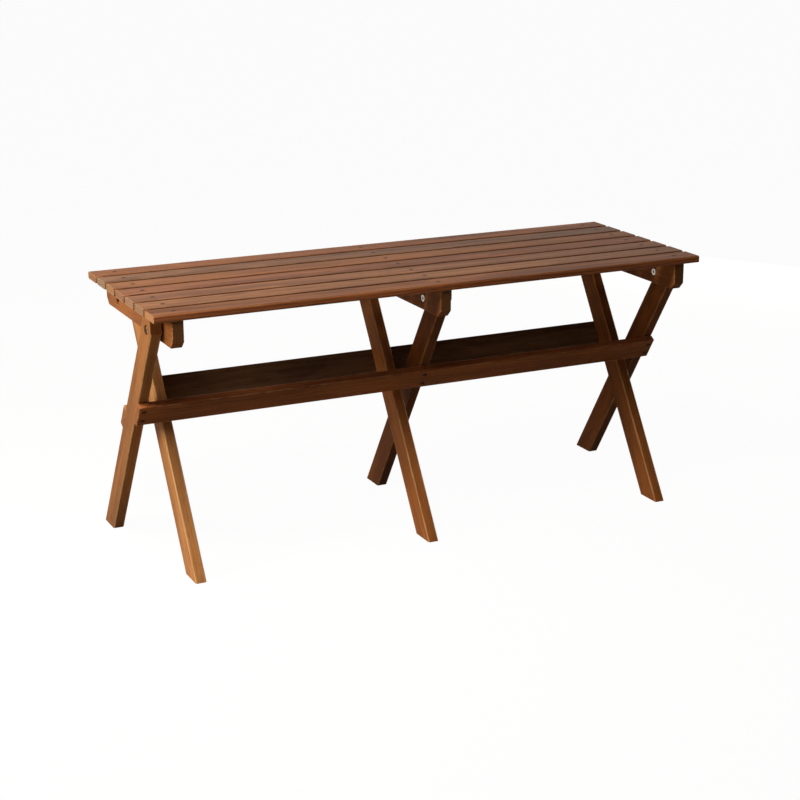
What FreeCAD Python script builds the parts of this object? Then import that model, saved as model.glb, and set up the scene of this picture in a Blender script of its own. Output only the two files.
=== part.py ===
"""Folding bench: seven slats on three battens, with two hinged frames of crossing legs.

Millimetres. +X runs along the bench, -Y is the front, +Z is up, and the origin is on the floor
under the middle of the seat. The front frame hangs on the bolts near the seat's front edge and
its feet stand at the back. The rear frame hangs on the bolts near the back edge and its feet
stand at the front. A leg frame's own axes have their origin at its bolts: z runs up along the
legs and y runs across them, so each frame is placed by the legs' lean alone.
"""
import FreeCAD, Part
import Sketcher
import math
import os
from FreeCAD import Placement, Rotation, Vector

DOC = FreeCAD.newDocument("FoldingBench")

SIZES = [
    # seat
    ("bench_length", 1000.0),
    ("seat_height", 448.5),
    ("slat_width", 45.2),
    ("slat_gap", 6.0),
    ("slat_thickness", 12.0),
    ("slat_round", 3.0),
    # battens under the slats
    ("batten_thickness", 19.0),
    ("batten_height", 45.5),
    ("batten_setback", 2.7),
    ("batten_corner", 11.0),
    ("batten_round", 1.2),
    ("middle_offset", 2.0),
    # legs
    ("leg_width", 42.0),
    ("leg_thickness", 18.5),
    ("leg_lean", 32.4),
    ("leg_inset", 7.5),
    ("leg_ease", 1.5),
    ("leg_top_gap", 0.5),
    ("leg_nose", 22.5),
    # hinge line of each frame
    ("pivot_spread", 220.0),
    ("pivot_drop", 25.0),
    # rails and stop blocks
    ("rail_width", 42.5),
    ("rail_thickness", 12.0),
    ("rail_round", 2.0),
    ("front_rail_rest", 0.4),
    ("rear_rail_rise", 13.6),
    ("stop_drop", 7.7),
    # hinge bolts, spacers and sleeve nuts
    ("bolt_diameter", 6.0),
    ("bolt_end_gap", 3.0),
    ("bolt_head_diameter", 12.5),
    ("bolt_head_height", 3.2),
    ("bolt_head_ease", 0.9),
    ("recess_diameter", 16.0),
    ("recess_depth", 5.5),
    ("spacer_diameter", 18.0),
    ("spacer_thickness", 3.5),
    ("sleeve_diameter", 8.4),
    ("sleeve_length", 10.0),
    ("sleeve_head_diameter", 11.6),
    ("sleeve_head_height", 1.8),
    ("sleeve_recess", 7.0),
    ("socket_width", 5.0),
    ("socket_depth", 1.5),
    ("fit_gap", 0.05),
]
SLAT_COUNT = 7

# Edges that run along a piece are at least this share of its longest edge.
LONG_EDGE_SHARE = 0.6
# Two lengths closer than this are the same.
SAME = 1e-4


def make_sheet():
    """The driving dimensions, one alias per row."""
    sheet = DOC.addObject("Spreadsheet::Sheet", "Sizes")
    for row, (alias, size) in enumerate(SIZES, start=1):
        sheet.set("A%d" % row, alias)
        sheet.set("B%d" % row, str(size))
        sheet.setAlias("B%d" % row, alias)
    DOC.recompute()
    return sheet


SHEET = make_sheet()


def value(expression):
    """What an expression over the sheet comes to."""
    result = SHEET.evalExpression(expression)
    return float(getattr(result, "Value", result))


# Lengths worked out from the sheet.
SLAT_PITCH = "(Sizes.slat_width + Sizes.slat_gap)"
HALF_DEPTH = "((%d * %s - Sizes.slat_gap) / 2)" % (SLAT_COUNT, SLAT_PITCH)
SEAT_UNDERSIDE = "(Sizes.seat_height - Sizes.slat_thickness)"
BATTEN_UNDERSIDE = "(%s - Sizes.batten_height)" % SEAT_UNDERSIDE
BATTEN_HALF_LENGTH = "(%s - Sizes.batten_setback)" % HALF_DEPTH
BATTEN_HALF = "(Sizes.batten_thickness / 2)"
PIVOT_Y = "(Sizes.pivot_spread / 2)"
PIVOT_Z = "(%s - Sizes.pivot_drop)" % SEAT_UNDERSIDE
LEG_HALF = "(Sizes.leg_width / 2)"
LEG_TOP = "(Sizes.pivot_drop - Sizes.leg_top_gap)"
LEG_FROM_BATTEN = "(%s + Sizes.spacer_thickness)" % BATTEN_HALF
RECESS_FLOOR = "(%s + Sizes.leg_thickness - Sizes.recess_depth)" % LEG_FROM_BATTEN
END_STATION = "(Sizes.bench_length / 2 - Sizes.leg_inset - Sizes.leg_thickness - %s)" % LEG_FROM_BATTEN
FRONT_RAIL_LENGTH = "(Sizes.bench_length - 2 * Sizes.leg_inset)"
REAR_RAIL_LENGTH = "(2 * (%s - %s))" % (END_STATION, LEG_FROM_BATTEN)
SINE = "sin(Sizes.leg_lean)"
COSINE = "cos(Sizes.leg_lean)"
TANGENT = "tan(Sizes.leg_lean)"
# Along a leg from its bolt: the near and the far corner of the place where the legs cross.
CROSSING_NEAR = "(%s / %s - %s * %s)" % (PIVOT_Y, SINE, LEG_HALF, TANGENT)
CROSSING_FAR = "(%s / %s + %s * %s)" % (PIVOT_Y, SINE, LEG_HALF, TANGENT)
FRONT_RAIL_FOOT = "(%s - Sizes.front_rail_rest)" % CROSSING_NEAR
REAR_RAIL_FOOT = "(%s - Sizes.rear_rail_rise)" % CROSSING_NEAR
STOP_FOOT = "(%s - Sizes.stop_drop + Sizes.rail_width)" % CROSSING_FAR

# The bench's stations: where the batten stands, and on which side of it the front leg is.
STATIONS = [
    ("left", "-%s" % END_STATION, -1),
    ("middle", "Sizes.middle_offset", 1),
    ("right", END_STATION, 1),
]


def new_body(label):
    body = DOC.addObject("PartDesign::Body", label)
    body.Label = label
    return body


def new_sketch(body, name, plane, offset=None):
    """A sketch on one of the body's own planes, moved along the plane's normal by offset."""
    origin_plane = [feature for feature in body.Origin.OriginFeatures if feature.Role == plane][0]
    sketch = body.newObject("Sketcher::SketchObject", name)
    sketch.AttachmentSupport = [(origin_plane, "")]
    sketch.MapMode = "FlatFace"
    if offset is not None:
        sketch.setExpression(".AttachmentOffset.Base.z", offset)
    return sketch


def hold(sketch, kind, geometry, position, expression):
    """Keep a sketch point at a distance from the sketch's origin."""
    index = sketch.addConstraint(
        Sketcher.Constraint(kind, -1, 1, geometry, position, value(expression)))
    sketch.setExpression("Constraints[%d]" % index, expression)


def draw_outline(sketch, corners, arcs=None):
    """A closed outline through corners, each a pair of expressions.

    arcs gives the centre of the arc that leaves a corner; the others leave in a straight line.
    """
    arcs = arcs or {}
    points = [Vector(value(across), value(up), 0) for across, up in corners]
    for index, start in enumerate(points):
        end = points[(index + 1) % len(points)]
        if index in arcs:
            centre = Vector(value(arcs[index][0]), value(arcs[index][1]), 0)
            first = math.atan2(start.y - centre.y, start.x - centre.x)
            last = math.atan2(end.y - centre.y, end.x - centre.x)
            circle = Part.Circle(centre, Vector(0, 0, 1), (start - centre).Length)
            sketch.addGeometry(Part.ArcOfCircle(circle, first, last), False)
        else:
            sketch.addGeometry(Part.LineSegment(start, end), False)
    for index, (across, up) in enumerate(corners):
        previous = (index - 1) % len(points)
        sketch.addConstraint(Sketcher.Constraint("Coincident", previous, 2, index, 1))
        hold(sketch, "DistanceX", index, 1, across)
        hold(sketch, "DistanceY", index, 1, up)
    for index, (_, centre_up) in arcs.items():
        hold(sketch, "DistanceY", index, 3, centre_up)


def draw_circles(sketch, centres, diameter):
    """Circles of one diameter, with each centre a pair of expressions."""
    for across, up in centres:
        centre = Vector(value(across), value(up), 0)
        circle = Part.Circle(centre, Vector(0, 0, 1), value(diameter) / 2)
        geometry = sketch.addGeometry(circle, False)
        hold(sketch, "DistanceX", geometry, 3, across)
        hold(sketch, "DistanceY", geometry, 3, up)
        index = sketch.addConstraint(Sketcher.Constraint("Diameter", geometry, value(diameter)))
        sketch.setExpression("Constraints[%d]" % index, diameter)


def pad(body, sketch, length, midplane=False):
    """Raise the sketch along its normal, or to both sides of its plane."""
    feature = body.newObject("PartDesign::Pad", "%s_pad" % body.Label)
    feature.Profile = sketch
    feature.setExpression("Length", length)
    feature.Midplane = midplane
    sketch.Visibility = False
    DOC.recompute()


def pocket(body, sketch, depth=None, forward=False):
    """Cut the sketch away against its normal, or along it if forward; all the way without depth."""
    before = body.Shape.Volume
    feature = body.newObject("PartDesign::Pocket", "%s_pocket" % sketch.Name)
    feature.Profile = sketch
    feature.Reversed = forward
    if depth is None:
        feature.Type = "ThroughAll"
    else:
        feature.setExpression("Length", depth)
    sketch.Visibility = False
    DOC.recompute()
    if not body.Shape.Volume < before:
        raise RuntimeError("%s cuts nothing" % sketch.Name)


def dress_edges(body, kind, measure, size, chosen):
    """Fillet or chamfer the body's edges for which chosen(edge) is true."""
    base = body.Tip
    names = ["Edge%d" % number for number, edge in enumerate(base.Shape.Edges, start=1) if chosen(edge)]
    feature = body.newObject(kind, "%s_%s" % (body.Label, measure.lower()))
    feature.Base = (base, names)
    feature.setExpression(measure, size)
    DOC.recompute()


def round_edges(body, radius, chosen):
    dress_edges(body, "PartDesign::Fillet", "Radius", radius, chosen)


def ease_edges(body, size, chosen):
    dress_edges(body, "PartDesign::Chamfer", "Size", size, chosen)


def is_long(shape):
    """A test for the straight edges that run most of the shape's length."""
    longest = max(edge.Length for edge in shape.Edges)

    def chosen(edge):
        return isinstance(edge.Curve, Part.Line) and edge.Length > LONG_EDGE_SHARE * longest
    return chosen


def is_below(level):
    """A test for the edges across the bench's length that lie wholly or partly below level."""
    def chosen(edge):
        return edge.BoundBox.XLength < SAME and edge.BoundBox.ZMin < level - SAME
    return chosen


def set_place(piece, across=None, back=None, up=None, lean=None):
    """Place a piece by expressions; lean turns it about the bench's length."""
    if lean is not None:
        piece.Placement = Placement(Vector(), Rotation(Vector(1, 0, 0), 1))
        piece.setExpression(".Placement.Rotation.Angle", lean)
    for axis, expression in (("x", across), ("y", back), ("z", up)):
        if expression is not None:
            piece.setExpression(".Placement.Base.%s" % axis, expression)


def hang_in_front(piece, across):
    set_place(piece, across, "-%s" % PIVOT_Y, PIVOT_Z, "Sizes.leg_lean")


def hang_behind(piece, across):
    set_place(piece, across, PIVOT_Y, PIVOT_Z, "-Sizes.leg_lean")


def slat_y(number):
    """Across the seat to the middle of slat number, counted from the front."""
    return "(%g * %s)" % (number - (SLAT_COUNT + 1) / 2, SLAT_PITCH)


def make_slat(number):
    """A slat with rounded long edges."""
    body = new_body("slat_%d" % number)
    sketch = new_sketch(body, "slat_%d_outline" % number, "YZ_Plane")
    half = "(Sizes.slat_width / 2)"
    draw_outline(sketch, [("-%s" % half, "0"), (half, "0"),
                          (half, "Sizes.slat_thickness"), ("-%s" % half, "Sizes.slat_thickness")])
    pad(body, sketch, "Sizes.bench_length", midplane=True)
    round_edges(body, "Sizes.slat_round", is_long(body.Shape))
    set_place(body, back=slat_y(number), up=SEAT_UNDERSIDE)
    return body


def make_batten(station, centre, side):
    """A batten on edge with its lower corners cut off, bored for the bolts of both frames.

    The rear bolt's sleeve nut lies in a recess, because the front leg swings past that face.
    """
    label = "batten_%s" % station
    body = new_body(label)
    low, high = BATTEN_UNDERSIDE, SEAT_UNDERSIDE
    end = BATTEN_HALF_LENGTH
    inner = "(%s - Sizes.batten_corner)" % end
    shoulder = "(%s + Sizes.batten_corner)" % low
    sketch = new_sketch(body, label + "_outline", "YZ_Plane")
    draw_outline(sketch, [("-%s" % inner, low), (inner, low), (end, shoulder), (end, high),
                          ("-%s" % end, high), ("-%s" % end, shoulder)])
    pad(body, sketch, "Sizes.batten_thickness", midplane=True)
    round_edges(body, "Sizes.batten_round", is_below(value(high)))
    bores = new_sketch(body, label + "_bores", "YZ_Plane", "-%s" % BATTEN_HALF)
    draw_circles(bores, [("-%s" % PIVOT_Y, PIVOT_Z), (PIVOT_Y, PIVOT_Z)],
                 "(Sizes.sleeve_diameter + 2 * Sizes.fit_gap)")
    pocket(body, bores, forward=True)
    recess = new_sketch(body, label + "_recess", "YZ_Plane", "%d * %s" % (side, BATTEN_HALF))
    draw_circles(recess, [(PIVOT_Y, PIVOT_Z)], "Sizes.recess_diameter")
    pocket(body, recess, "Sizes.sleeve_recess", forward=side < 0)
    set_place(body, across=centre)
    return body


def bore_leg(body, recess_side):
    """The bolt's hole, with a recess for its head in the face on recess_side."""
    hole = new_sketch(body, body.Label + "_hole", "YZ_Plane")
    draw_circles(hole, [("0", "0")], "(Sizes.bolt_diameter + 2 * Sizes.fit_gap)")
    pocket(body, hole, forward=True)
    floor = "Sizes.recess_depth" if recess_side < 0 else "(Sizes.leg_thickness - Sizes.recess_depth)"
    recess = new_sketch(body, body.Label + "_recess", "YZ_Plane", floor)
    draw_circles(recess, [("0", "0")], "Sizes.recess_diameter")
    pocket(body, recess, forward=recess_side > 0)


def beside_batten(centre, side):
    """The lower X face of a leg that stands beside the batten at centre, on the given side."""
    if side > 0:
        return "%s + %s" % (centre, LEG_FROM_BATTEN)
    return "%s - %s - Sizes.leg_thickness" % (centre, LEG_FROM_BATTEN)


def foot_level(side):
    """Down the leg's edge on side to the floor; side is 1 for the edge that faces up."""
    return "-((%s + %d * %s * %s) / %s)" % (PIVOT_Z, side, LEG_HALF, SINE, COSINE)


def make_front_leg(station, centre, side):
    """A leg of the front frame: level foot, squared nose under the slats, rounded behind the bolt.

    The round behind the bolt lets the head turn under the slats as the leg swings up.
    """
    label = "front_leg_%s" % station
    body = new_body(label)
    sketch = new_sketch(body, label + "_outline", "YZ_Plane")
    shoulder = "sqrt(%s * %s - %s * %s)" % (LEG_TOP, LEG_TOP, LEG_HALF, LEG_HALF)
    level_y = "(%s * %s)" % (LEG_TOP, SINE)
    level_z = "(%s * %s)" % (LEG_TOP, COSINE)
    draw_outline(sketch, [
        ("-%s" % LEG_HALF, foot_level(-1)),
        (LEG_HALF, foot_level(1)),
        (LEG_HALF, shoulder),
        (level_y, level_z),
        ("%s - Sizes.leg_nose * %s" % (level_y, COSINE), "%s + Sizes.leg_nose * %s" % (level_z, SINE)),
        ("-%s" % LEG_HALF, "(Sizes.leg_nose - %s * %s) / %s" % (LEG_HALF, COSINE, SINE)),
    ], {2: ("0", "0")})
    pad(body, sketch, "Sizes.leg_thickness")
    ease_edges(body, "Sizes.leg_ease", is_long(body.Shape))
    bore_leg(body, side)
    hang_in_front(body, beside_batten(centre, side))
    return body


def make_rear_leg(station, centre, side):
    """A leg of the rear frame: level foot and a half-round head about its bolt."""
    label = "rear_leg_%s" % station
    body = new_body(label)
    sketch = new_sketch(body, label + "_outline", "YZ_Plane")
    draw_outline(sketch, [
        ("-%s" % LEG_HALF, foot_level(1)),
        (LEG_HALF, foot_level(-1)),
        (LEG_HALF, "0"),
        ("-%s" % LEG_HALF, "0"),
    ], {2: ("0", "0")})
    pad(body, sketch, "Sizes.leg_thickness")
    ease_edges(body, "Sizes.leg_ease", is_long(body.Shape))
    bore_leg(body, -side)
    hang_behind(body, beside_batten(centre, -side))
    return body


def make_board(label, foot, side, length):
    """A board flat on the edges of its frame's legs; side is 1 for the edges that face up or back.

    foot is how far its lower edge is along the leg from the bolt.
    """
    body = new_body(label)
    sketch = new_sketch(body, label + "_outline", "YZ_Plane")
    inner = "%d * %s" % (side, LEG_HALF)
    outer = "%d * (%s + Sizes.rail_thickness)" % (side, LEG_HALF)
    low = "-%s" % foot
    high = "(Sizes.rail_width - %s)" % foot
    draw_outline(sketch, [(inner, low), (outer, low), (outer, high), (inner, high)])
    pad(body, sketch, length, midplane=True)
    outer_y = value(outer)
    round_edges(body, "Sizes.rail_round", lambda edge: abs(edge.BoundBox.Center.y - outer_y) < SAME)
    return body


def make_boards():
    """The rail of each frame, and the short blocks that stop the front frame under the slats."""
    front = make_board("front_rail", FRONT_RAIL_FOOT, -1, FRONT_RAIL_LENGTH)
    hang_in_front(front, "0")
    rear = make_board("rear_rail", REAR_RAIL_FOOT, 1, REAR_RAIL_LENGTH)
    hang_behind(rear, "0")
    boards = [front, rear]
    for station, centre, side in (STATIONS[0], STATIONS[-1]):
        block = make_board("stop_block_%s" % station, STOP_FOOT, 1, "Sizes.leg_thickness")
        hang_in_front(block, "%s + Sizes.leg_thickness / 2" % beside_batten(centre, side))
        boards.append(block)
    return boards


def turned(name, profile):
    """A solid turned about X from a profile of (x, radius) expressions."""
    sketch = DOC.addObject("Sketcher::SketchObject", name + "_profile")
    draw_outline(sketch, profile)
    solid = DOC.addObject("Part::Revolution", name)
    solid.Source = sketch
    solid.Axis = Vector(1, 0, 0)
    solid.Angle = 360
    solid.Solid = True
    sketch.Visibility = False
    return solid


def with_socket(name, solid, face):
    """The solid with a hexagon socket cut along +X from its end face."""
    key = DOC.addObject("Part::Prism", name + "_key")
    key.Polygon = 6
    key.setExpression("Circumradius", "Sizes.socket_width / sqrt(3)")
    key.setExpression("Height", "Sizes.socket_depth")
    key.Placement = Placement(Vector(), Rotation(Vector(0, 0, 1), Vector(1, 0, 0)))
    key.setExpression(".Placement.Base.x", face)
    cut = DOC.addObject("Part::Cut", name)
    cut.Base = solid
    cut.Tool = key
    return cut


def hinge_bolt(name, reach):
    """A bolt along +X with the underside of its head at x = 0."""
    height = "Sizes.bolt_head_height"
    head = "(Sizes.bolt_head_diameter / 2)"
    radius = "(Sizes.bolt_diameter / 2)"
    end = "(Sizes.leg_thickness - Sizes.recess_depth + Sizes.spacer_thickness + %s)" % reach
    solid = turned(name + "_turned", [
        ("-%s" % height, "0"),
        (end, "0"),
        (end, radius),
        ("0", radius),
        ("0", head),
        ("Sizes.bolt_head_ease - %s" % height, head),
        ("-%s" % height, "%s - Sizes.bolt_head_ease" % head),
    ])
    return with_socket(name, solid, "-%s" % height)


def sleeve_nut(name):
    """A sleeve nut along +X with the underside of its head at x = 0, bored from its far end."""
    head = "(Sizes.sleeve_head_diameter / 2)"
    barrel = "(Sizes.sleeve_diameter / 2)"
    bore = "(Sizes.bolt_diameter / 2 + Sizes.fit_gap)"
    floor = "(Sizes.bolt_end_gap - Sizes.fit_gap)"
    solid = turned(name + "_turned", [
        ("-Sizes.sleeve_head_height", "0"),
        (floor, "0"),
        (floor, bore),
        ("Sizes.sleeve_length", bore),
        ("Sizes.sleeve_length", barrel),
        ("0", barrel),
        ("0", head),
        ("-Sizes.sleeve_head_height", head),
    ])
    return with_socket(name, solid, "-Sizes.sleeve_head_height")


def spacer(name):
    """A thick washer along +X from x = 0."""
    outer = "(Sizes.spacer_diameter / 2)"
    bore = "(Sizes.bolt_diameter / 2 + Sizes.fit_gap)"
    return turned(name, [("0", bore), ("Sizes.spacer_thickness", bore),
                         ("Sizes.spacer_thickness", outer), ("0", outer)])


def face_along_x(piece, sign, x, y):
    """Put a piece that runs along +X at a place on the hinge line, running along sign * X."""
    if sign < 0:
        piece.Placement = Placement(Vector(), Rotation(Vector(0, 0, 1), 180))
    set_place(piece, x, y, PIVOT_Z)


def group(label, pieces):
    """Like fasteners as one sub-part."""
    compound = DOC.addObject("Part::Compound", label)
    compound.Label = label
    compound.Links = pieces
    return compound


def make_hinge_hardware(frame, way, y, nut_recess):
    """The bolts, sleeve nuts and spacers of one frame's hinge line.

    way is 1 if the frame's legs stand on the stations' own side of the battens, or -1.
    nut_recess is how deep the sleeve nuts lie in the battens.
    """
    bolts, nuts, spacers = [], [], []
    reach = "(Sizes.batten_thickness - %s - Sizes.bolt_end_gap)" % nut_recess
    for station, centre, side in STATIONS:
        out = way * side
        name = "%s_%s" % (frame, station)
        bolt = hinge_bolt(name + "_bolt", reach)
        face_along_x(bolt, -out, "%s + %d * %s" % (centre, out, RECESS_FLOOR), y)
        bolts.append(bolt)
        nut = sleeve_nut(name + "_nut")
        face_along_x(nut, out, "%s - %d * (%s - %s)" % (centre, out, BATTEN_HALF, nut_recess), y)
        nuts.append(nut)
        washer = spacer(name + "_spacer")
        face_along_x(washer, out, "%s + %d * %s" % (centre, out, BATTEN_HALF), y)
        spacers.append(washer)
    return [group("%s_hinge_bolts" % frame, bolts), group("%s_sleeve_nuts" % frame, nuts),
            group("%s_spacers" % frame, spacers)]


def build():
    """Every sub-part of the bench."""
    pieces = [make_slat(number) for number in range(1, SLAT_COUNT + 1)]
    for station, centre, side in STATIONS:
        pieces.append(make_batten(station, centre, side))
        pieces.append(make_front_leg(station, centre, side))
        pieces.append(make_rear_leg(station, centre, side))
    pieces += make_boards()
    pieces += make_hinge_hardware("front", 1, "-%s" % PIVOT_Y, "0")
    pieces += make_hinge_hardware("rear", -1, PIVOT_Y, "Sizes.sleeve_recess")
    return pieces


def check(pieces):
    """Stop at any feature that failed or any sub-part without a valid shape."""
    for item in DOC.Objects:
        if "Invalid" in item.State or "Error" in item.State:
            raise RuntimeError("%s failed: %s" % (item.Label, item.State))
    for piece in pieces:
        if piece.Shape.isNull() or not piece.Shape.isValid():
            raise RuntimeError("%s has no valid shape" % piece.Label)


def main():
    pieces = build()
    DOC.recompute()
    check(pieces)
    os.makedirs("parts", exist_ok=True)
    for piece in pieces:
        piece.Shape.exportStep("parts/%s.step" % piece.Label)
        box = piece.Shape.BoundBox
        print("%-18s %d solids, x %.2f to %.2f, y %.2f to %.2f, z %.2f to %.2f" % (
            piece.Label, len(piece.Shape.Solids), box.XMin, box.XMax, box.YMin, box.YMax,
            box.ZMin, box.ZMax))


main()
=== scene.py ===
"""Looks of the folding bench: oiled reddish hardwood, dull screws and bright hinge bolts."""

import math
import random

import bmesh
import bpy
from mathutils import Matrix, Vector


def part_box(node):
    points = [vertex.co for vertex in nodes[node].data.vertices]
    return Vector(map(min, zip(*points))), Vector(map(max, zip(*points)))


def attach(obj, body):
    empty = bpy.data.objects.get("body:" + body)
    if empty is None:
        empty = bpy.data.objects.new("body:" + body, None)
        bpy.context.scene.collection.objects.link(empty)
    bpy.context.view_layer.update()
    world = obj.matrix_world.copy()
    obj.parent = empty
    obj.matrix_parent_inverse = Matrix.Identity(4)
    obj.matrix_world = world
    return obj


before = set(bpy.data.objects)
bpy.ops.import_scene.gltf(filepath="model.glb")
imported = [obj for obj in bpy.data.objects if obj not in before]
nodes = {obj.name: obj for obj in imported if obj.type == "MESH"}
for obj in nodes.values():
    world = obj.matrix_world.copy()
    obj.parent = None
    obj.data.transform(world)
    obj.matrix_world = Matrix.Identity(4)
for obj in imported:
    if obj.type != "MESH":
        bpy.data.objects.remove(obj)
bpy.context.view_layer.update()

# The bench's own measures, in metres.
LEAN = math.radians(32.4)
PIVOT_Y = 0.110
PIVOT_Z = 0.4115
SEAT_TOP = 0.4485
SLAT_PITCH = 0.0512
SLAT_COUNT = 7
RAIL_WIDTH = 0.0425
STATIONS = ("left", "middle", "right")

# Half of each piece's size along its own axes: grain, width, thickness.
SLAT_HALF = (0.5, 0.0226, 0.006)
BATTEN_HALF = (0.1735, 0.02275, 0.0095)
RAIL_HALF = (0.4925, RAIL_WIDTH / 2, 0.006)
BLOCK_HALF = (RAIL_WIDTH / 2, 0.00925, 0.006)
# The legs' is longer than they are, so that their slanting feet don't get the wear and painted
# highlight of square ends.
LEG_HALF = (0.30, 0.021, 0.00925)
# From a leg's bolt down to its middle.
LEG_MIDDLE = 0.235

ALONG_BENCH = Vector((1, 0, 0))
ACROSS_BENCH = Vector((0, 1, 0))
UP = Vector((0, 0, 1))
FRONT_LEG_AXIS = Vector((0, math.sin(LEAN), -math.cos(LEAN)))
REAR_LEG_AXIS = Vector((0, -math.sin(LEAN), -math.cos(LEAN)))
# Where the rails' free broad faces look.
FRONT_RAIL_OUTWARD = -ALONG_BENCH.cross(FRONT_LEG_AXIS)
REAR_RAIL_OUTWARD = ALONG_BENCH.cross(REAR_LEG_AXIS)

# Where the screws stand along the bench: over the battens, and on the legs of each frame.
BATTEN_SCREWS = (-0.461, -0.0025, 0.461)
FRONT_LEG_SCREWS = (-0.48325, 0.02425, 0.48325)
REAR_LEG_SCREWS = (-0.43875, -0.02025, 0.43875)
# Across a rail or along a block, from its middle.
RAIL_SCREWS = (-RAIL_WIDTH / 4, RAIL_WIDTH / 4)


class Graph:
    """A small helper to build shader nodes."""

    def __init__(self, name):
        self.material = bpy.data.materials.new(name)
        self.material.use_nodes = True
        self.tree = self.material.node_tree
        self.tree.nodes.clear()
        self.output = self.add("ShaderNodeOutputMaterial")
        self.shader = self.add("ShaderNodeBsdfPrincipled")
        self.link(self.shader.outputs[0], self.output.inputs["Surface"])

    def add(self, kind, **settings):
        node = self.tree.nodes.new(kind)
        for key, setting in settings.items():
            setattr(node, key, setting)
        return node

    def link(self, source, target):
        self.tree.links.new(source, target)

    def put(self, target, source):
        """Connect a socket, or set its constant."""
        if isinstance(source, bpy.types.NodeSocket):
            self.link(source, target)
        else:
            target.default_value = source

    def math(self, operation, first, second=None, clamp=False):
        node = self.add("ShaderNodeMath", operation=operation, use_clamp=clamp)
        self.put(node.inputs[0], first)
        if second is not None:
            self.put(node.inputs[1], second)
        return node.outputs[0]

    def times(self, first, *others):
        for other in others:
            first = self.math("MULTIPLY", first, other)
        return first

    def plus(self, first, *others):
        for other in others:
            first = self.math("ADD", first, other)
        return first

    def minus(self, first, *others):
        for other in others:
            first = self.math("SUBTRACT", first, other)
        return first

    def size(self, source):
        return self.math("ABSOLUTE", source)

    def vector(self, operation, first, second):
        node = self.add("ShaderNodeVectorMath", operation=operation)
        self.put(node.inputs[0], first)
        self.put(node.inputs[1], second)
        return node.outputs["Value" if operation == "DOT_PRODUCT" else "Vector"]

    def length(self, vector):
        node = self.add("ShaderNodeVectorMath", operation="LENGTH")
        self.put(node.inputs[0], vector)
        return node.outputs["Value"]

    def noise(self, vector, scale, detail, roughness):
        node = self.add("ShaderNodeTexNoise")
        self.put(node.inputs["Vector"], vector)
        node.inputs["Scale"].default_value = scale
        node.inputs["Detail"].default_value = detail
        node.inputs["Roughness"].default_value = roughness
        return node.outputs

    def step(self, source, low, high, to_low=0.0, to_high=1.0):
        """A smooth step from to_low to to_high as source goes from low to high."""
        node = self.add("ShaderNodeMapRange", interpolation_type="SMOOTHSTEP")
        for index, item in enumerate((source, low, high, to_low, to_high)):
            self.put(node.inputs[index], item)
        return node.outputs[0]

    def blend(self, factor, first, second, kind="MIX"):
        node = self.add("ShaderNodeMix", data_type="RGBA", blend_type=kind)
        self.put(node.inputs[0], factor)
        for index, item in ((6, first), (7, second)):
            if isinstance(item, tuple):
                item = item + (1.0,) * (4 - len(item))
            self.put(node.inputs[index], item)
        return node.outputs[2]

    def tint(self, colour, tone):
        return self.blend(1.0, colour, tone, "MULTIPLY")

    def grey(self, source):
        """A colour whose three channels are one value."""
        node = self.add("ShaderNodeCombineColor")
        for index in range(3):
            self.put(node.inputs[index], source)
        return node.outputs[0]

    def bump(self, height, strength, distance):
        node = self.add("ShaderNodeBump")
        node.inputs["Strength"].default_value = strength
        node.inputs["Distance"].default_value = distance
        self.link(height, node.inputs["Height"])
        self.link(node.outputs[0], self.shader.inputs["Normal"])

    def surface(self, colour, roughness, specular):
        self.link(colour, self.shader.inputs["Base Color"])
        self.link(roughness, self.shader.inputs["Roughness"])
        self.shader.inputs["Specular IOR Level"].default_value = specular
        return self.material


# Oiled hardwood in linear colour: dark late wood, light early wood, end grain, and the edges'
# colour for wear and a painted highlight. The gloss is the specular level.
SEAT_WOOD = {"late": (0.095, 0.033, 0.012), "early": (0.294, 0.130, 0.055),
             "end": (0.45, 0.24, 0.125), "worn_and_highlit": (0.38, 0.20, 0.095), "gloss": 0.06}
FRAME_WOOD = {"late": (0.150, 0.048, 0.013), "early": (0.400, 0.172, 0.052),
              "end": (0.36, 0.165, 0.060), "worn_and_highlit": (0.62, 0.36, 0.165), "gloss": 0.02}
PORE = (0.045, 0.016, 0.008)
# Dark colour for stains round screws, and for painted shade in the slats' gaps and the bolts'
# sockets.
GRIME_AND_SHADE = (0.030, 0.012, 0.006)
# Oil that has taken well, and patches where it has darkened the wood.
OILED = (1.08, 1.03, 0.98)
OIL_PATCH = (0.60, 0.57, 0.60)

# Growth rings: their width, how far slow noise bends them, and the most that they run off along
# the board. The pith lies outside the board: how far to a side at most, and how deep.
RING_WIDTH = 0.0048
RING_SWAY = 0.030
RING_TAPER = 0.018
PITH_SIDE = 0.034
PITH_DEPTH = (0.028, 0.055)
# Within one ring: where it darkens, and where it turns light again.
RING_DARKENS = (0.15, 0.85)
RING_ENDS = (1.0, 0.93)

# Noises drawn out along the grain: cycles per metre along and across it, detail, roughness.
SWAY_NOISE = (2.6, 14.0, 3.0, 0.55)
FIBRE_NOISE = (9.0, 420.0, 4.0, 0.6)
PORE_NOISE = (38.0, 1500.0, 1.0, 0.4)
BLOTCH_NOISE = (4.5, 22.0, 2.0, 0.5)
BAND_NOISE = (1.6, 60.0, 2.0, 0.5)
VEIN_NOISE = (16.0, 330.0, 1.0, 0.5)
VEIN_PATCH_NOISE = (3.0, 16.0, 1.0, 0.5)
SPECK_NOISE = (300.0, 900.0, 2.0, 0.6)
EDGE_REACH_NOISE = (30.0, 160.0, 3.0, 0.6)
# How far each board's noise may be moved, so that no two boards are alike.
NOISE_SHIFT = 9

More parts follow.
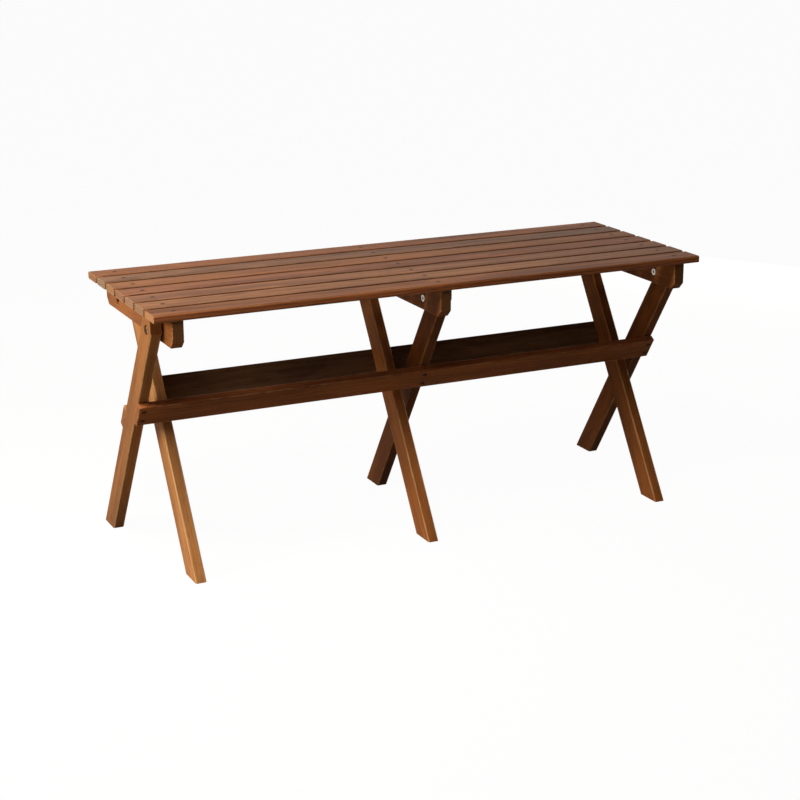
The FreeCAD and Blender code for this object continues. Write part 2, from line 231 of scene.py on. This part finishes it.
# Steps: where they start and end, and then what they go from and to.
PORE_STEP = (0.60, 0.70)
LIGHT_STEP = (0.32, 0.68)
BLOTCH_STEP = (0.62, 0.34, 0.0, 0.7)
VEIN_STEP = (0.66, 0.74)
VEIN_PATCH_STEP = (0.52, 0.62)
END_FACE_STEP = (0.55, 0.80)
SIDE_FACE_STEP = (0.45, 0.85)
SPECK_STEP = (0.3, 0.7)
EDGE_REACH_STEP = (0.35, 0.7)
WORN_AND_HIGHLIT_STEP = (1.0, 0.4)

# Shade between late and early wood: its level, and what the grain's contrast adds and takes.
SHADE_LEVEL = 0.78
SHADE_DROP = 0.36
FIBRE_SHARE = 0.55
GRAIN_LIGHT = 0.62
RING_DARK = 0.34
PORE_STRENGTH = 0.45
WORN_AND_HIGHLIT_STRENGTH = 0.6
# End grain: how light its darkest and lightest specks are, and its early and late wood.
SPECK_LIGHT = (0.78, 1.06)
END_RING_LIGHT = (1.04, 0.84)
# Roughness: oiled wood's own, and what fibres, end grain and wear add.
OILED_ROUGHNESS = 0.40
FIBRE_ROUGHNESS = 0.16
END_ROUGHNESS = 0.22
WORN_ROUGHNESS = 0.10
# Relief: fibres stand up, pores and late wood lie back. Then the bump's strength and depth.
FIBRE_RELIEF = 0.55
PORE_RELIEF = 0.5
RING_RELIEF = 0.25
WOOD_BUMP = (0.30, 0.0004)

# The least and the most that the lightened edges reach in: partly wear, partly a painted highlight.
EDGE_WEAR_AND_HIGHLIGHT = (0.0009, 0.0030)
# The legs' edges reach furthest, as a painted highlight along their eased edges.
LEG_WEAR_AND_HIGHLIGHT = (0.0022, 0.0038)
BATTEN_WEAR_AND_HIGHLIGHT = (0.0005, 0.0018)
RAIL_WEAR_AND_HIGHLIGHT = (0.0006, 0.0020)
# Painted shade in the gap between two slats: it lies on the side, below the top, and thins at the
# ends.
SHADE_ON_SIDE = (0.0026, 0.0010)
SHADE_BELOW_TOP = (0.0002, 0.0010)
SHADE_INWARD = (0.004, 0.016, 0.25, 0.85)
# The stain round a screw, drawn out along the grain.
STAIN_STEP = (0.0043, 0.0029, 0.0, 0.85)
STAIN_STRETCH = 0.8


class Wood(Graph):
    """Sawn and oiled hardwood with its grain along the first axis of the piece's own frame.

    half is half the piece's size along its own axes.
    """

    def __init__(self, name, centre, angles, half, seed):
        super().__init__(name)
        rng = random.Random(seed)
        self.angles = angles
        self.half = half
        coordinates = self.add("ShaderNodeTexCoord")
        self.normal = coordinates.outputs["Normal"]
        local = self.add("ShaderNodeMapping", vector_type="TEXTURE")
        self.link(coordinates.outputs["Object"], local.inputs["Vector"])
        local.inputs["Location"].default_value = centre
        local.inputs["Rotation"].default_value = angles
        self.here = local.outputs[0]
        shift = tuple(rng.uniform(-NOISE_SHIFT, NOISE_SHIFT) for _ in range(3))
        self.moved = self.vector("ADD", self.here, shift)
        parts = self.add("ShaderNodeSeparateXYZ")
        self.link(self.here, parts.inputs[0])
        self.along, self.across, _ = parts.outputs
        # How deep a place lies below the ends, the long sides and the broad faces.
        self.below_end, self.below_side, self.below_face = [
            self.minus(reach, self.size(part)) for reach, part in zip(half, parts.outputs)]
        self.ring = self.growth_rings(rng)
        self.fibre = self.stretched(FIBRE_NOISE)[0]
        self.pore = self.step(self.stretched(PORE_NOISE)[0], *PORE_STEP)

    def stretched(self, recipe):
        """Noise drawn out along the grain."""
        along, across, detail, roughness = recipe
        drawn = self.vector("MULTIPLY", self.moved, (along, across, across))
        return self.noise(drawn, 1.0, detail, roughness)

    def growth_rings(self, rng):
        """Cylinders round a pith outside the board, bent by slow noise along the grain."""
        slow = self.vector("SUBTRACT", self.stretched(SWAY_NOISE)["Color"], (0.5, 0.5, 0.5))
        sway = self.vector("MULTIPLY", slow, (0.0, RING_SWAY, RING_SWAY))
        pith = (0.0, rng.uniform(-PITH_SIDE, PITH_SIDE),
                rng.choice((-1, 1)) * rng.uniform(*PITH_DEPTH))
        bent = self.vector("ADD", self.vector("ADD", self.here, sway), pith)
        radius = self.length(self.vector("MULTIPLY", bent, (0.0, 1.0, 1.0)))
        taper = self.times(self.along, rng.uniform(-RING_TAPER, RING_TAPER))
        phase = self.math("FRACT", self.math("DIVIDE", self.plus(radius, taper), RING_WIDTH))
        return self.times(self.step(phase, *RING_DARKENS), self.step(phase, *RING_ENDS))

    def facing(self, own_axis):
        """How squarely the surface looks along one of the piece's own axes, either way."""
        axis = Vector(own_axis)
        axis.rotate(self.angles)
        return self.size(self.vector("DOT_PRODUCT", self.normal, tuple(axis)))

    def long_grain(self, palette, contrast, streaks):
        """Fibres, rings and pores along the grain, and blotches of the oil."""
        light = self.plus(self.times(self.fibre, FIBRE_SHARE),
                          self.times(self.stretched(BAND_NOISE)[0], 1 - FIBRE_SHARE))
        light = self.times(self.step(light, *LIGHT_STEP), GRAIN_LIGHT * contrast)
        light = self.plus(light, SHADE_LEVEL - SHADE_DROP * contrast)
        late = self.times(self.ring, RING_DARK * contrast)
        shade = self.math("SUBTRACT", light, late, clamp=True)
        colour = self.blend(shade, palette["late"], palette["early"])
        blotch = self.step(self.stretched(BLOTCH_NOISE)[0], *BLOTCH_STEP)
        colour = self.tint(colour, self.blend(blotch, OILED, OIL_PATCH))
        colour = self.blend(self.times(self.pore, PORE_STRENGTH), colour, PORE)
        if streaks:
            vein = self.step(self.stretched(VEIN_NOISE)[0], *VEIN_STEP)
            patch = self.step(self.stretched(VEIN_PATCH_NOISE)[0], *VEIN_PATCH_STEP)
            colour = self.blend(self.times(vein, patch, streaks), colour, PORE)
        return colour

    def end_grain(self, palette, end_shade):
        """Speckled and without fibres."""
        least, most = (light * end_shade for light in SPECK_LIGHT)
        speck = self.step(self.stretched(SPECK_NOISE)[0], *SPECK_STEP, least, most)
        light = self.times(speck, self.step(self.ring, 0.0, 1.0, *END_RING_LIGHT))
        return self.tint(palette["end"], self.grey(light))

    def worn_and_highlit_edges(self, wear):
        """Lightened where two faces meet, out to an uneven reach: partly wear, partly a painted
        highlight.
        """
        long_edge = self.plus(self.below_side, self.below_face)
        end_edge = self.plus(self.math("MINIMUM", self.below_side, self.below_face),
                             self.below_end)
        nearest = self.math("MINIMUM", long_edge, end_edge)
        reach = self.step(self.stretched(EDGE_REACH_NOISE)[0], *EDGE_REACH_STEP, *wear)
        worn_and_highlit = self.step(self.math("DIVIDE", nearest, reach), *WORN_AND_HIGHLIT_STEP)
        return self.times(worn_and_highlit, WORN_AND_HIGHLIT_STRENGTH)

    def gap_shade(self, side):
        """Painted shade on the long side that faces a neighbour, with less of it near the ends."""
        depth = self.minus(self.half[1], self.times(self.across, float(side)))
        return self.times(self.step(depth, *SHADE_ON_SIDE),
                          self.step(self.below_face, *SHADE_BELOW_TOP),
                          self.step(self.below_end, *SHADE_INWARD))

    def screw_stain(self, spot):
        """Round a screw head on a broad face."""
        offset = self.vector("SUBTRACT", self.here, (*spot, 0.0))
        distance = self.length(self.vector("MULTIPLY", offset, (STAIN_STRETCH, 1.0, 0.0)))
        return self.step(distance, *STAIN_STEP)


def wood(name, centre, angles, half, seed, palette, tone, contrast=1.0, end_shade=1.0,
         streaks=0.0, wear=EDGE_WEAR_AND_HIGHLIGHT, side_tone=None, dirty_sides=(), screws=()):
    """The material of one board.

    tone colours the whole board, and the narrow-side factor its narrow long sides against its broad
    faces, as painted light and shade. The long sides that face a neighbour, given by their signs,
    get painted shade in the gap, and screws are the places of screw heads on the broad faces.
    """
    g = Wood(name, centre, angles, half, seed)
    end = g.step(g.facing((1, 0, 0)), *END_FACE_STEP)
    colour = g.blend(end, g.long_grain(palette, contrast, streaks), g.end_grain(palette, end_shade))
    colour = g.tint(colour, tone)
    # Painted light and shade: the narrow long sides tinted against the broad faces.
    if side_tone:
        side = g.step(g.facing((0, 1, 0)), *SIDE_FACE_STEP)
        colour = g.tint(colour, g.blend(side, (1.0, 1.0, 1.0), side_tone))
    # Edges lightened partly for wear, partly as a painted highlight.
    worn_and_highlit = g.worn_and_highlit_edges(wear)
    bare_and_highlit = tuple(channel * min(1.0, share) for channel, share in zip(palette["worn_and_highlit"], tone))
    colour = g.blend(worn_and_highlit, colour, bare_and_highlit)
    # Painted shade in the gaps between neighbouring slats.
    for side in dirty_sides:
        colour = g.blend(g.gap_shade(side), colour, GRIME_AND_SHADE)
    for spot in screws:
        colour = g.blend(g.screw_stain(spot), colour, GRIME_AND_SHADE)
    g.bump(g.minus(g.times(g.fibre, FIBRE_RELIEF), g.times(g.pore, PORE_RELIEF),
                   g.times(g.ring, RING_RELIEF)), *WOOD_BUMP)
    rough = g.plus(g.times(g.fibre, FIBRE_ROUGHNESS), OILED_ROUGHNESS,
                   g.times(end, END_ROUGHNESS), g.times(worn_and_highlit, WORN_ROUGHNESS))
    return g.surface(colour, rough, palette["gloss"])


# Steel: fine scratches and slow patches, as scale, detail and roughness of their noises.
SCRATCH_NOISE = (900.0, 3.0, 0.6)
PATCH_NOISE = (160.0, 3.0, 0.6)
SCRATCH_STEP = (0.3, 0.7, 0.0, 0.35)
PATCH_STEP = (0.45, 0.65)
# A scratch's colour against the clean metal's, and the shine that a dull patch loses.
SCRATCH_SHADE = 0.7
SCRATCH_ROUGHNESS = 0.18
DULL_LOSS = 0.5
STEEL_BUMP = (0.15, 0.0001)
# A socket's painted shade: its edges as shares of the socket's half width, its strength, and the
# shine left.
SOCKET_OUTER = 1.15
SOCKET_INNER = 0.85
SOCKET_SHADE = 0.95
SOCKET_SHINE = 0.2


def metal(name, colour, dull, shine, roughness, dirt, socket=None, specular=0.5):
    """Plated steel: fine scratches, uneven shine, dull patches, and painted shade in a socket.

    shine is how metallic the clean places are. socket is the line of the heads' sockets: its y
    and z, and the sockets' half width.
    """
    g = Graph(name)
    place = g.add("ShaderNodeTexCoord").outputs["Object"]
    fine = g.noise(place, *SCRATCH_NOISE)[0]
    patch = g.step(g.noise(place, *PATCH_NOISE)[0], *PATCH_STEP, 0.0, dirt)
    scratched = tuple(SCRATCH_SHADE * channel for channel in colour)
    base = g.blend(g.step(fine, *SCRATCH_STEP), colour, scratched)
    base = g.blend(patch, base, dull)
    shine = g.minus(shine, g.times(patch, DULL_LOSS * shine))
    # Painted shade in the heads' sockets: darker and less metallic.
    if socket:
        y, z, half = socket
        offset = g.vector("SUBTRACT", place, (0.0, y, z))
        distance = g.length(g.vector("MULTIPLY", offset, (0.0, 1.0, 1.0)))
        inside = g.step(distance, half * SOCKET_OUTER, half * SOCKET_INNER)
        base = g.blend(g.times(inside, SOCKET_SHADE), base, GRIME_AND_SHADE)
        shine = g.times(shine, g.step(inside, 0.0, 1.0, 1.0, SOCKET_SHINE))
    g.link(shine, g.shader.inputs["Metallic"])
    g.bump(fine, *STEEL_BUMP)
    return g.surface(base, g.plus(g.times(fine, SCRATCH_ROUGHNESS), roughness), specular)


def own_axes(grain, thickness):
    """Rotation of a piece's own frame from its grain and thickness directions."""
    width = thickness.cross(grain).normalized()
    axes = Matrix((grain.normalized(), width, thickness.normalized()))
    return axes.transposed().to_euler("XYZ")


def middle_of(node):
    low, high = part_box(node)
    return (Vector(low) + Vector(high)) / 2


def dress(node, material):
    """Give every slot of a CAD node this material."""
    obj = nodes[node]
    if not obj.material_slots:
        obj.data.materials.append(material)
    for entry in obj.material_slots:
        entry.material = material


def dress_board(node, angles, half, seed, palette, tone, centre=None, **look):
    """Give a CAD node wood of its own, laid out from the middle of its box or another centre."""
    if centre is None:
        centre = middle_of(node)
    dress(node, wood("wood_" + node, centre, angles, half, seed, palette, tone, **look))


# Tone and end grain's lightness of each slat from the front to the back: some greyer, some redder.
SLATS = (
    ((0.84, 0.73, 0.58), 1.10),
    ((0.98, 1.02, 1.00), 0.64),
    ((0.96, 0.98, 1.04), 0.70),
    ((1.02, 0.94, 0.96), 0.58),
    ((1.14, 1.08, 0.92), 0.62),
    ((0.88, 0.99, 1.14), 0.70),
    ((1.06, 0.94, 0.84), 0.60),
)
# The slats' narrow long sides lighter than their tops: partly wood less weathered than the tops,
# partly painted light.
SLAT_SIDE_LIGHT = (1.45, 1.28, 1.25)
SLAT_STREAKS = 0.8
BATTEN_TONE = (0.90, 0.79, 0.73)
BATTEN_ENDS = 0.42
# Tone of each leg from left to right, and how light its narrow faces are against its broad ones.
# Both carry painted light and shade: the left legs lighter, the narrow faces of the others darker.
FRONT_LEGS = (((0.89, 0.87, 0.85), 0.90), ((0.60, 0.46, 0.37), 0.72), ((0.75, 0.60, 0.51), 0.70))
REAR_LEGS = (((1.38, 1.46, 1.58), 1.0), ((1.10, 0.93, 0.85), 0.95), ((0.98, 0.80, 0.68), 0.82))
FOOT_SHADE = 0.5
FRONT_RAIL_TONE = (0.81, 0.68, 0.70)
FRONT_RAIL_ENDS = 1.05
# The front rail's narrow sides lighter: painted light on its top face, which the seat shades from
# the lamps.
FRONT_RAIL_SIDE_LIGHT = (1.5, 1.5, 1.6)
# The rear rail's tone is darker partly as painted shade under the seat, and its end faces darker as
# painted shade.
REAR_RAIL_TONE_AND_SHADE = (0.48, 0.60, 1.00)
REAR_RAIL_ENDS_SHADE = 0.35
BLOCK_TONE = (0.97, 0.92, 0.96)
# How strong the grain of the frames' boards is against the slats'.
FRAME_CONTRAST = 0.45
RAIL_CONTRAST = 0.7

# Each board's random numbers start from its own seed.
SLAT_SEED = 11
BATTEN_SEED = 30
LEG_SEED = 50
LEG_SEED_STEP = 7
FRONT_RAIL_SEED = 80
REAR_RAIL_SEED = 81
BLOCK_SEED = 90
SLAT_SCREW_SEED = 200
FRONT_RAIL_SCREW_SEED = 210
REAR_RAIL_SCREW_SEED = 220
BLOCK_SCREW_SEED = 230


def dress_seat():
    along = own_axes(ALONG_BENCH, UP)
    spots = [(station, 0.0) for station in BATTEN_SCREWS]
    for index, (tone, end_shade) in enumerate(SLATS):
        sides = [side for side in (-1, 1) if 0 <= index + side < SLAT_COUNT]
        dress_board("slat_%d" % (index + 1), along, SLAT_HALF, SLAT_SEED + index, SEAT_WOOD, tone,
                    end_shade=end_shade, streaks=SLAT_STREAKS, side_tone=SLAT_SIDE_LIGHT,
                    dirty_sides=sides, screws=spots)
    across = own_axes(ACROSS_BENCH, ALONG_BENCH)
    for index, station in enumerate(STATIONS):
        dress_board("batten_" + station, across, BATTEN_HALF, BATTEN_SEED + index, FRAME_WOOD,
                    BATTEN_TONE, contrast=FRAME_CONTRAST, end_shade=BATTEN_ENDS, wear=BATTEN_WEAR_AND_HIGHLIGHT)


def dress_legs(row, side, axis, legs):
    """Legs of one frame; side is -1 for the front frame and 1 for the rear one."""
    for index, (station, (tone, narrow)) in enumerate(zip(STATIONS, legs)):
        name = "%s_leg_%s" % (row, station)
        bolt = Vector((middle_of(name).x, side * PIVOT_Y, PIVOT_Z))
        seed = LEG_SEED + LEG_SEED_STEP * index + side
        dress_board(name, own_axes(axis, ALONG_BENCH), LEG_HALF, seed, FRAME_WOOD, tone,
                    centre=bolt + axis * LEG_MIDDLE, contrast=FRAME_CONTRAST,
                    end_shade=FOOT_SHADE, wear=LEG_WEAR_AND_HIGHLIGHT, side_tone=(narrow,) * 3)


def dress_rail(name, axis, seed, stations, tone, end_shade, side_tone=None):
    spots = [(station, offset) for station in stations for offset in RAIL_SCREWS]
    dress_board(name, own_axes(ALONG_BENCH, ALONG_BENCH.cross(axis)), RAIL_HALF, seed, FRAME_WOOD,
                tone, contrast=RAIL_CONTRAST, end_shade=end_shade, wear=RAIL_WEAR_AND_HIGHLIGHT,
                side_tone=side_tone, screws=spots)


dress_seat()
dress_legs("front", -1, FRONT_LEG_AXIS, FRONT_LEGS)
dress_legs("rear", 1, REAR_LEG_AXIS, REAR_LEGS)
dress_rail("front_rail", FRONT_LEG_AXIS, FRONT_RAIL_SEED, FRONT_LEG_SCREWS, FRONT_RAIL_TONE,
           FRONT_RAIL_ENDS, FRONT_RAIL_SIDE_LIGHT)
dress_rail("rear_rail", REAR_LEG_AXIS, REAR_RAIL_SEED, REAR_LEG_SCREWS, REAR_RAIL_TONE_AND_SHADE,
           REAR_RAIL_ENDS_SHADE)
block_axes = own_axes(FRONT_LEG_AXIS, -FRONT_RAIL_OUTWARD)
for index, name in enumerate(("stop_block_left", "stop_block_right")):
    dress_board(name, block_axes, BLOCK_HALF, BLOCK_SEED + index, FRAME_WOOD, BLOCK_TONE,
                contrast=FRAME_CONTRAST)

PLATED = (0.68, 0.62, 0.52)
PLATED_DULL = (0.42, 0.36, 0.28)
SOCKET_HALF = 0.0025
SCREW_STEEL = (0.034, 0.024, 0.018)
SCREW_STEEL_DULL = (0.018, 0.010, 0.006)
for row, side in (("front", -1), ("rear", 1)):
    plated = metal("plated_steel_" + row, PLATED, PLATED_DULL, shine=0.95, roughness=0.24,
                   dirt=0.4, socket=(side * PIVOT_Y, PIVOT_Z, SOCKET_HALF))
    for kind in ("hinge_bolts", "sleeve_nuts", "spacers"):
        dress("%s_%s" % (row, kind), plated)
dulled = metal("dulled_steel", SCREW_STEEL, SCREW_STEEL_DULL, shine=0.3, roughness=0.55,
               dirt=0.8, specular=0.08)

# A wood screw. The outline gives radius and height from the head's rim to the thread, and the
# thread's root and crest stand at a quarter and three quarters of each turn.
HEAD_RADIUS = 0.0029
HEAD_PROUD = 0.00012
SCREW_OUTLINE = [(HEAD_RADIUS, 0.0), (0.0020, -0.0016), (0.0016, -0.0022)]
THREAD_ROOT = 0.00115
THREAD_CREST = 0.0017
THREAD_PITCH = 0.0016
THREAD_TURNS = 10
TIP_LENGTH = 0.003
ROUND_STEPS = 24
# The cross in the head: half its arm's width, its reach, its depth, and how far it narrows.
CROSS_HALF = 0.00042
CROSS_REACH = 0.0019
CROSS_DEPTH = 0.0013
CROSS_TAPER = 0.45


def ring_of(made, radius, height):
    turns = [2 * math.pi * index / ROUND_STEPS for index in range(ROUND_STEPS)]
    return [made.verts.new((radius * math.cos(turn), radius * math.sin(turn), height))
            for turn in turns]


def neighbours(loop):
    """Each item of a closed loop with the one after it."""
    return list(zip(loop, loop[1:] + loop[:1]))


def join_rings(made, first, second):
    """Faces between two loops of equal length."""
    for (a, b), (c, d) in zip(neighbours(first), neighbours(second)):
        made.faces.new((a, c, d, b))


def cross_loop(made, height, share):
    """The twelve corners of the cross at this height, with its arms drawn in to share."""
    half, reach = CROSS_HALF, CROSS_REACH * share
    quarter = [(reach, -half), (reach, half), (half, half)]
    loop = []
    for cosine, sine in ((1, 0), (0, 1), (-1, 0), (0, -1)):
        for x, y in quarter:
            loop.append(made.verts.new((cosine * x - sine * y, sine * x + cosine * y, height)))
    return loop


def screw_mesh():
    """A countersunk cross-head wood screw with a tapered tip, its head's rim at height zero."""
    made = bmesh.new()
    rings = [ring_of(made, HEAD_RADIUS - HEAD_PROUD, HEAD_PROUD)]
    rings += [ring_of(made, radius, height) for radius, height in SCREW_OUTLINE]
    height = SCREW_OUTLINE[-1][1]
    for turn in range(THREAD_TURNS):
        rings.append(ring_of(made, THREAD_ROOT, height - THREAD_PITCH * (turn + 0.25)))
        rings.append(ring_of(made, THREAD_CREST, height - THREAD_PITCH * (turn + 0.75)))
    height -= THREAD_PITCH * THREAD_TURNS
    rings.append(ring_of(made, THREAD_ROOT, height))
    for first, second in zip(rings, rings[1:]):
        join_rings(made, first, second)
    tip = made.verts.new((0, 0, height - TIP_LENGTH))
    for corner, following in neighbours(rings[-1]):
        made.faces.new((corner, tip, following))
    mouth = cross_loop(made, HEAD_PROUD, 1.0)
    floor = cross_loop(made, HEAD_PROUD - CROSS_DEPTH, CROSS_TAPER)
    join_rings(made, floor, mouth)
    made.faces.new(floor)
    borders = [made.edges.get(pair) for loop in (rings[0], mouth) for pair in neighbours(loop)]
    bmesh.ops.triangle_fill(made, edges=borders, use_beauty=True)
    bmesh.ops.recalc_face_normals(made, faces=made.faces[:])
    mesh = bpy.data.meshes.new("wood_screw")
    made.to_mesh(mesh)
    made.free()
    return mesh


def drive_screws(name, body, places, outward, seed):
    """One piece of all the screws at these places, heads outward, each turned its own way."""
    rng = random.Random(seed)
    made = bmesh.new()
    single = screw_mesh()
    turn = outward.to_track_quat("Z", "Y").to_matrix().to_4x4()
    for place in places:
        start = len(made.verts)
        made.from_mesh(single)
        made.verts.ensure_lookup_table()
        spin = Matrix.Rotation(rng.uniform(0, math.pi / 2), 4, "Z")
        bmesh.ops.transform(made, matrix=Matrix.Translation(place) @ turn @ spin,
                            verts=made.verts[start:])
    mesh = bpy.data.meshes.new(name)
    made.to_mesh(mesh)
    made.free()
    bpy.data.meshes.remove(single)
    mesh.materials.append(dulled)
    piece = bpy.data.objects.new(name, mesh)
    bpy.context.collection.objects.link(piece)
    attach(piece, body)


def drive_face_screws(name, body, node, axis, outward, stations, seed):
    """Screws in pairs at each station, on the broad face of a rail or block that looks outward."""
    middle = middle_of(node) + outward * RAIL_HALF[2]
    places = [Vector((station, middle.y, middle.z)) + axis * offset
              for station in stations for offset in RAIL_SCREWS]
    drive_screws(name, body, places, outward, seed)


slat_rows = [SLAT_PITCH * (number - (SLAT_COUNT - 1) / 2) for number in range(SLAT_COUNT)]
for index, (station, x) in enumerate(zip(STATIONS, BATTEN_SCREWS)):
    drive_screws("slat_screws_" + station, "seat", [Vector((x, y, SEAT_TOP)) for y in slat_rows],
                 UP, SLAT_SCREW_SEED + index)
drive_face_screws("front_rail_screws", "front_frame", "front_rail", FRONT_LEG_AXIS,
                  FRONT_RAIL_OUTWARD, FRONT_LEG_SCREWS, FRONT_RAIL_SCREW_SEED)
drive_face_screws("rear_rail_screws", "rear_frame", "rear_rail", REAR_LEG_AXIS,
                  REAR_RAIL_OUTWARD, REAR_LEG_SCREWS, REAR_RAIL_SCREW_SEED)
# The blocks stand on the outer front legs alone.
drive_face_screws("stop_block_screws", "front_frame", "stop_block_left", FRONT_LEG_AXIS,
                  -FRONT_RAIL_OUTWARD, FRONT_LEG_SCREWS[::2], BLOCK_SCREW_SEED)

# Camera: solved from the photograph's corners, in radians, metres, and pixels of a square picture.
CAMERA_YAW = 0.449673
CAMERA_PITCH = 0.290340
CAMERA_ROLL = -0.001404
CAMERA_PLACE = Vector((-1.306603, -2.721750, 1.108759))
FOCAL_PIXELS = 1786.70
PRINCIPAL_X = 403.21
PRINCIPAL_Y = 397.73
PICTURE = 800.0
SENSOR = 36.0
FAR_CLIP = 100.0


def make_camera():
    forward = Vector((math.sin(CAMERA_YAW) * math.cos(CAMERA_PITCH),
                      math.cos(CAMERA_YAW) * math.cos(CAMERA_PITCH), -math.sin(CAMERA_PITCH)))
    right = Vector((math.cos(CAMERA_YAW), -math.sin(CAMERA_YAW), 0))
    upward = right.cross(forward)
    turned_right = math.cos(CAMERA_ROLL) * right + math.sin(CAMERA_ROLL) * upward
    turned_up = math.cos(CAMERA_ROLL) * upward - math.sin(CAMERA_ROLL) * right
    data = bpy.data.cameras.new("camera")
    data.sensor_width = SENSOR
    data.lens = FOCAL_PIXELS / PICTURE * SENSOR
    data.shift_x = (PICTURE / 2 - PRINCIPAL_X) / PICTURE
    data.shift_y = (PRINCIPAL_Y - PICTURE / 2) / PICTURE
    data.clip_end = FAR_CLIP
    camera = bpy.data.objects.new("camera", data)
    bpy.context.collection.objects.link(camera)
    turn = Matrix((turned_right, turned_up, -forward)).transposed().to_4x4()
    camera.matrix_world = Matrix.Translation(CAMERA_PLACE) @ turn
    bpy.context.scene.camera = camera


WARM_LIGHT = (1.0, 0.97, 0.92)
SOFT_LIGHT = (1.0, 0.97, 0.94)
# Name, place, target, size, power in watts and colour. The back light stands below the seat's
# top, so that it only lifts the sides that look away from the other lights.
LIGHTS = (
    ("side", (-1.6, 0.1, 0.85), (-0.2, 0.0, 0.3), (0.9, 0.5), 18.5, WARM_LIGHT),
    ("key", (-0.75, -0.52, 1.65), (-0.1, 0.0, 0.3), (0.5, 0.5), 24.0, SOFT_LIGHT),
    ("fill", (-2.2, -1.6, 0.9), (0.0, 0.0, 0.3), (1.2, 1.2), 2.5, SOFT_LIGHT),
    ("back", (1.9, 1.3, 0.235), (0.0, 0.0, 0.235), (1.4, 0.4), 14.0, SOFT_LIGHT),
)


def area_light(name, place, target, size, power, colour):
    data = bpy.data.lights.new(name, "AREA")
    data.shape = "RECTANGLE"
    data.size, data.size_y = size
    data.energy = power
    data.color = colour
    light = bpy.data.objects.new(name, data)
    light.location = place
    light.rotation_mode = "QUATERNION"
    light.rotation_quaternion = (Vector(target) - Vector(place)).to_track_quat("-Z", "Y")
    bpy.context.collection.objects.link(light)


WHITE = (1.0, 1.0, 1.0, 1.0)
# How bright the backdrop is to the camera and in reflections, and how much it lights the bench.
BACKDROP_SEEN = 1.05
BACKDROP_IN_GLOSS = 0.9
BACKDROP_FILL = 0.015
# Share of the floor's look that is the backdrop's white; the rest keeps the shadow.
FLOOR_WHITE = 0.92
FLOOR_COLOUR = (0.42, 0.40, 0.37, 1.0)
FLOOR_ROUGHNESS = 0.9
FLOOR_SIZE = 40.0


def make_floor():
    """A plain pale floor that looks as white as the backdrop from the camera."""
    bpy.ops.mesh.primitive_plane_add(size=FLOOR_SIZE, location=(0, 0, 0))
    floor = bpy.context.object
    floor.name = "floor"
    g = Graph("pale_floor")
    g.shader.inputs["Base Color"].default_value = FLOOR_COLOUR
    g.shader.inputs["Roughness"].default_value = FLOOR_ROUGHNESS
    g.shader.inputs["Specular IOR Level"].default_value = 0.0
    rays = g.add("ShaderNodeLightPath").outputs
    glow = g.add("ShaderNodeEmission")
    glow.inputs["Color"].default_value = WHITE
    g.link(g.plus(g.times(rays["Is Camera Ray"], BACKDROP_SEEN),
                  g.times(rays["Is Glossy Ray"], BACKDROP_IN_GLOSS)), glow.inputs["Strength"])
    seen = g.math("MAXIMUM", rays["Is Camera Ray"], rays["Is Glossy Ray"])
    mix = g.add("ShaderNodeMixShader")
    g.link(g.times(seen, FLOOR_WHITE), mix.inputs[0])
    g.link(g.shader.outputs[0], mix.inputs[1])
    g.link(glow.outputs[0], mix.inputs[2])
    g.link(mix.outputs[0], g.output.inputs["Surface"])
    floor.data.materials.append(g.material)


def make_world():
    """A white backdrop to the camera and in reflections that hardly lights the bench."""
    world = bpy.data.worlds.new("studio")
    bpy.context.scene.world = world
    world.use_nodes = True
    tree = world.node_tree
    tree.nodes.clear()
    output = tree.nodes.new("ShaderNodeOutputWorld")
    rays = tree.nodes.new("ShaderNodeLightPath")
    below = None
    for strength, ray in ((BACKDROP_FILL, None), (BACKDROP_IN_GLOSS, "Is Glossy Ray"),
                          (BACKDROP_SEEN, "Is Transmission Ray"),
                          (BACKDROP_SEEN * FLOOR_WHITE, "Is Camera Ray")):
        shade = tree.nodes.new("ShaderNodeBackground")
        shade.inputs["Color"].default_value = WHITE
        shade.inputs["Strength"].default_value = strength
        if ray is None:
            below = shade.outputs[0]
            continue
        mix = tree.nodes.new("ShaderNodeMixShader")
        tree.links.new(rays.outputs[ray], mix.inputs[0])
        tree.links.new(below, mix.inputs[1])
        tree.links.new(shade.outputs[0], mix.inputs[2])
        below = mix.outputs[0]
    tree.links.new(below, output.inputs["Surface"])


make_camera()
make_floor()
make_world()
for light in LIGHTS:
    area_light(*light)

bpy.context.scene.view_settings.view_transform = "Standard"
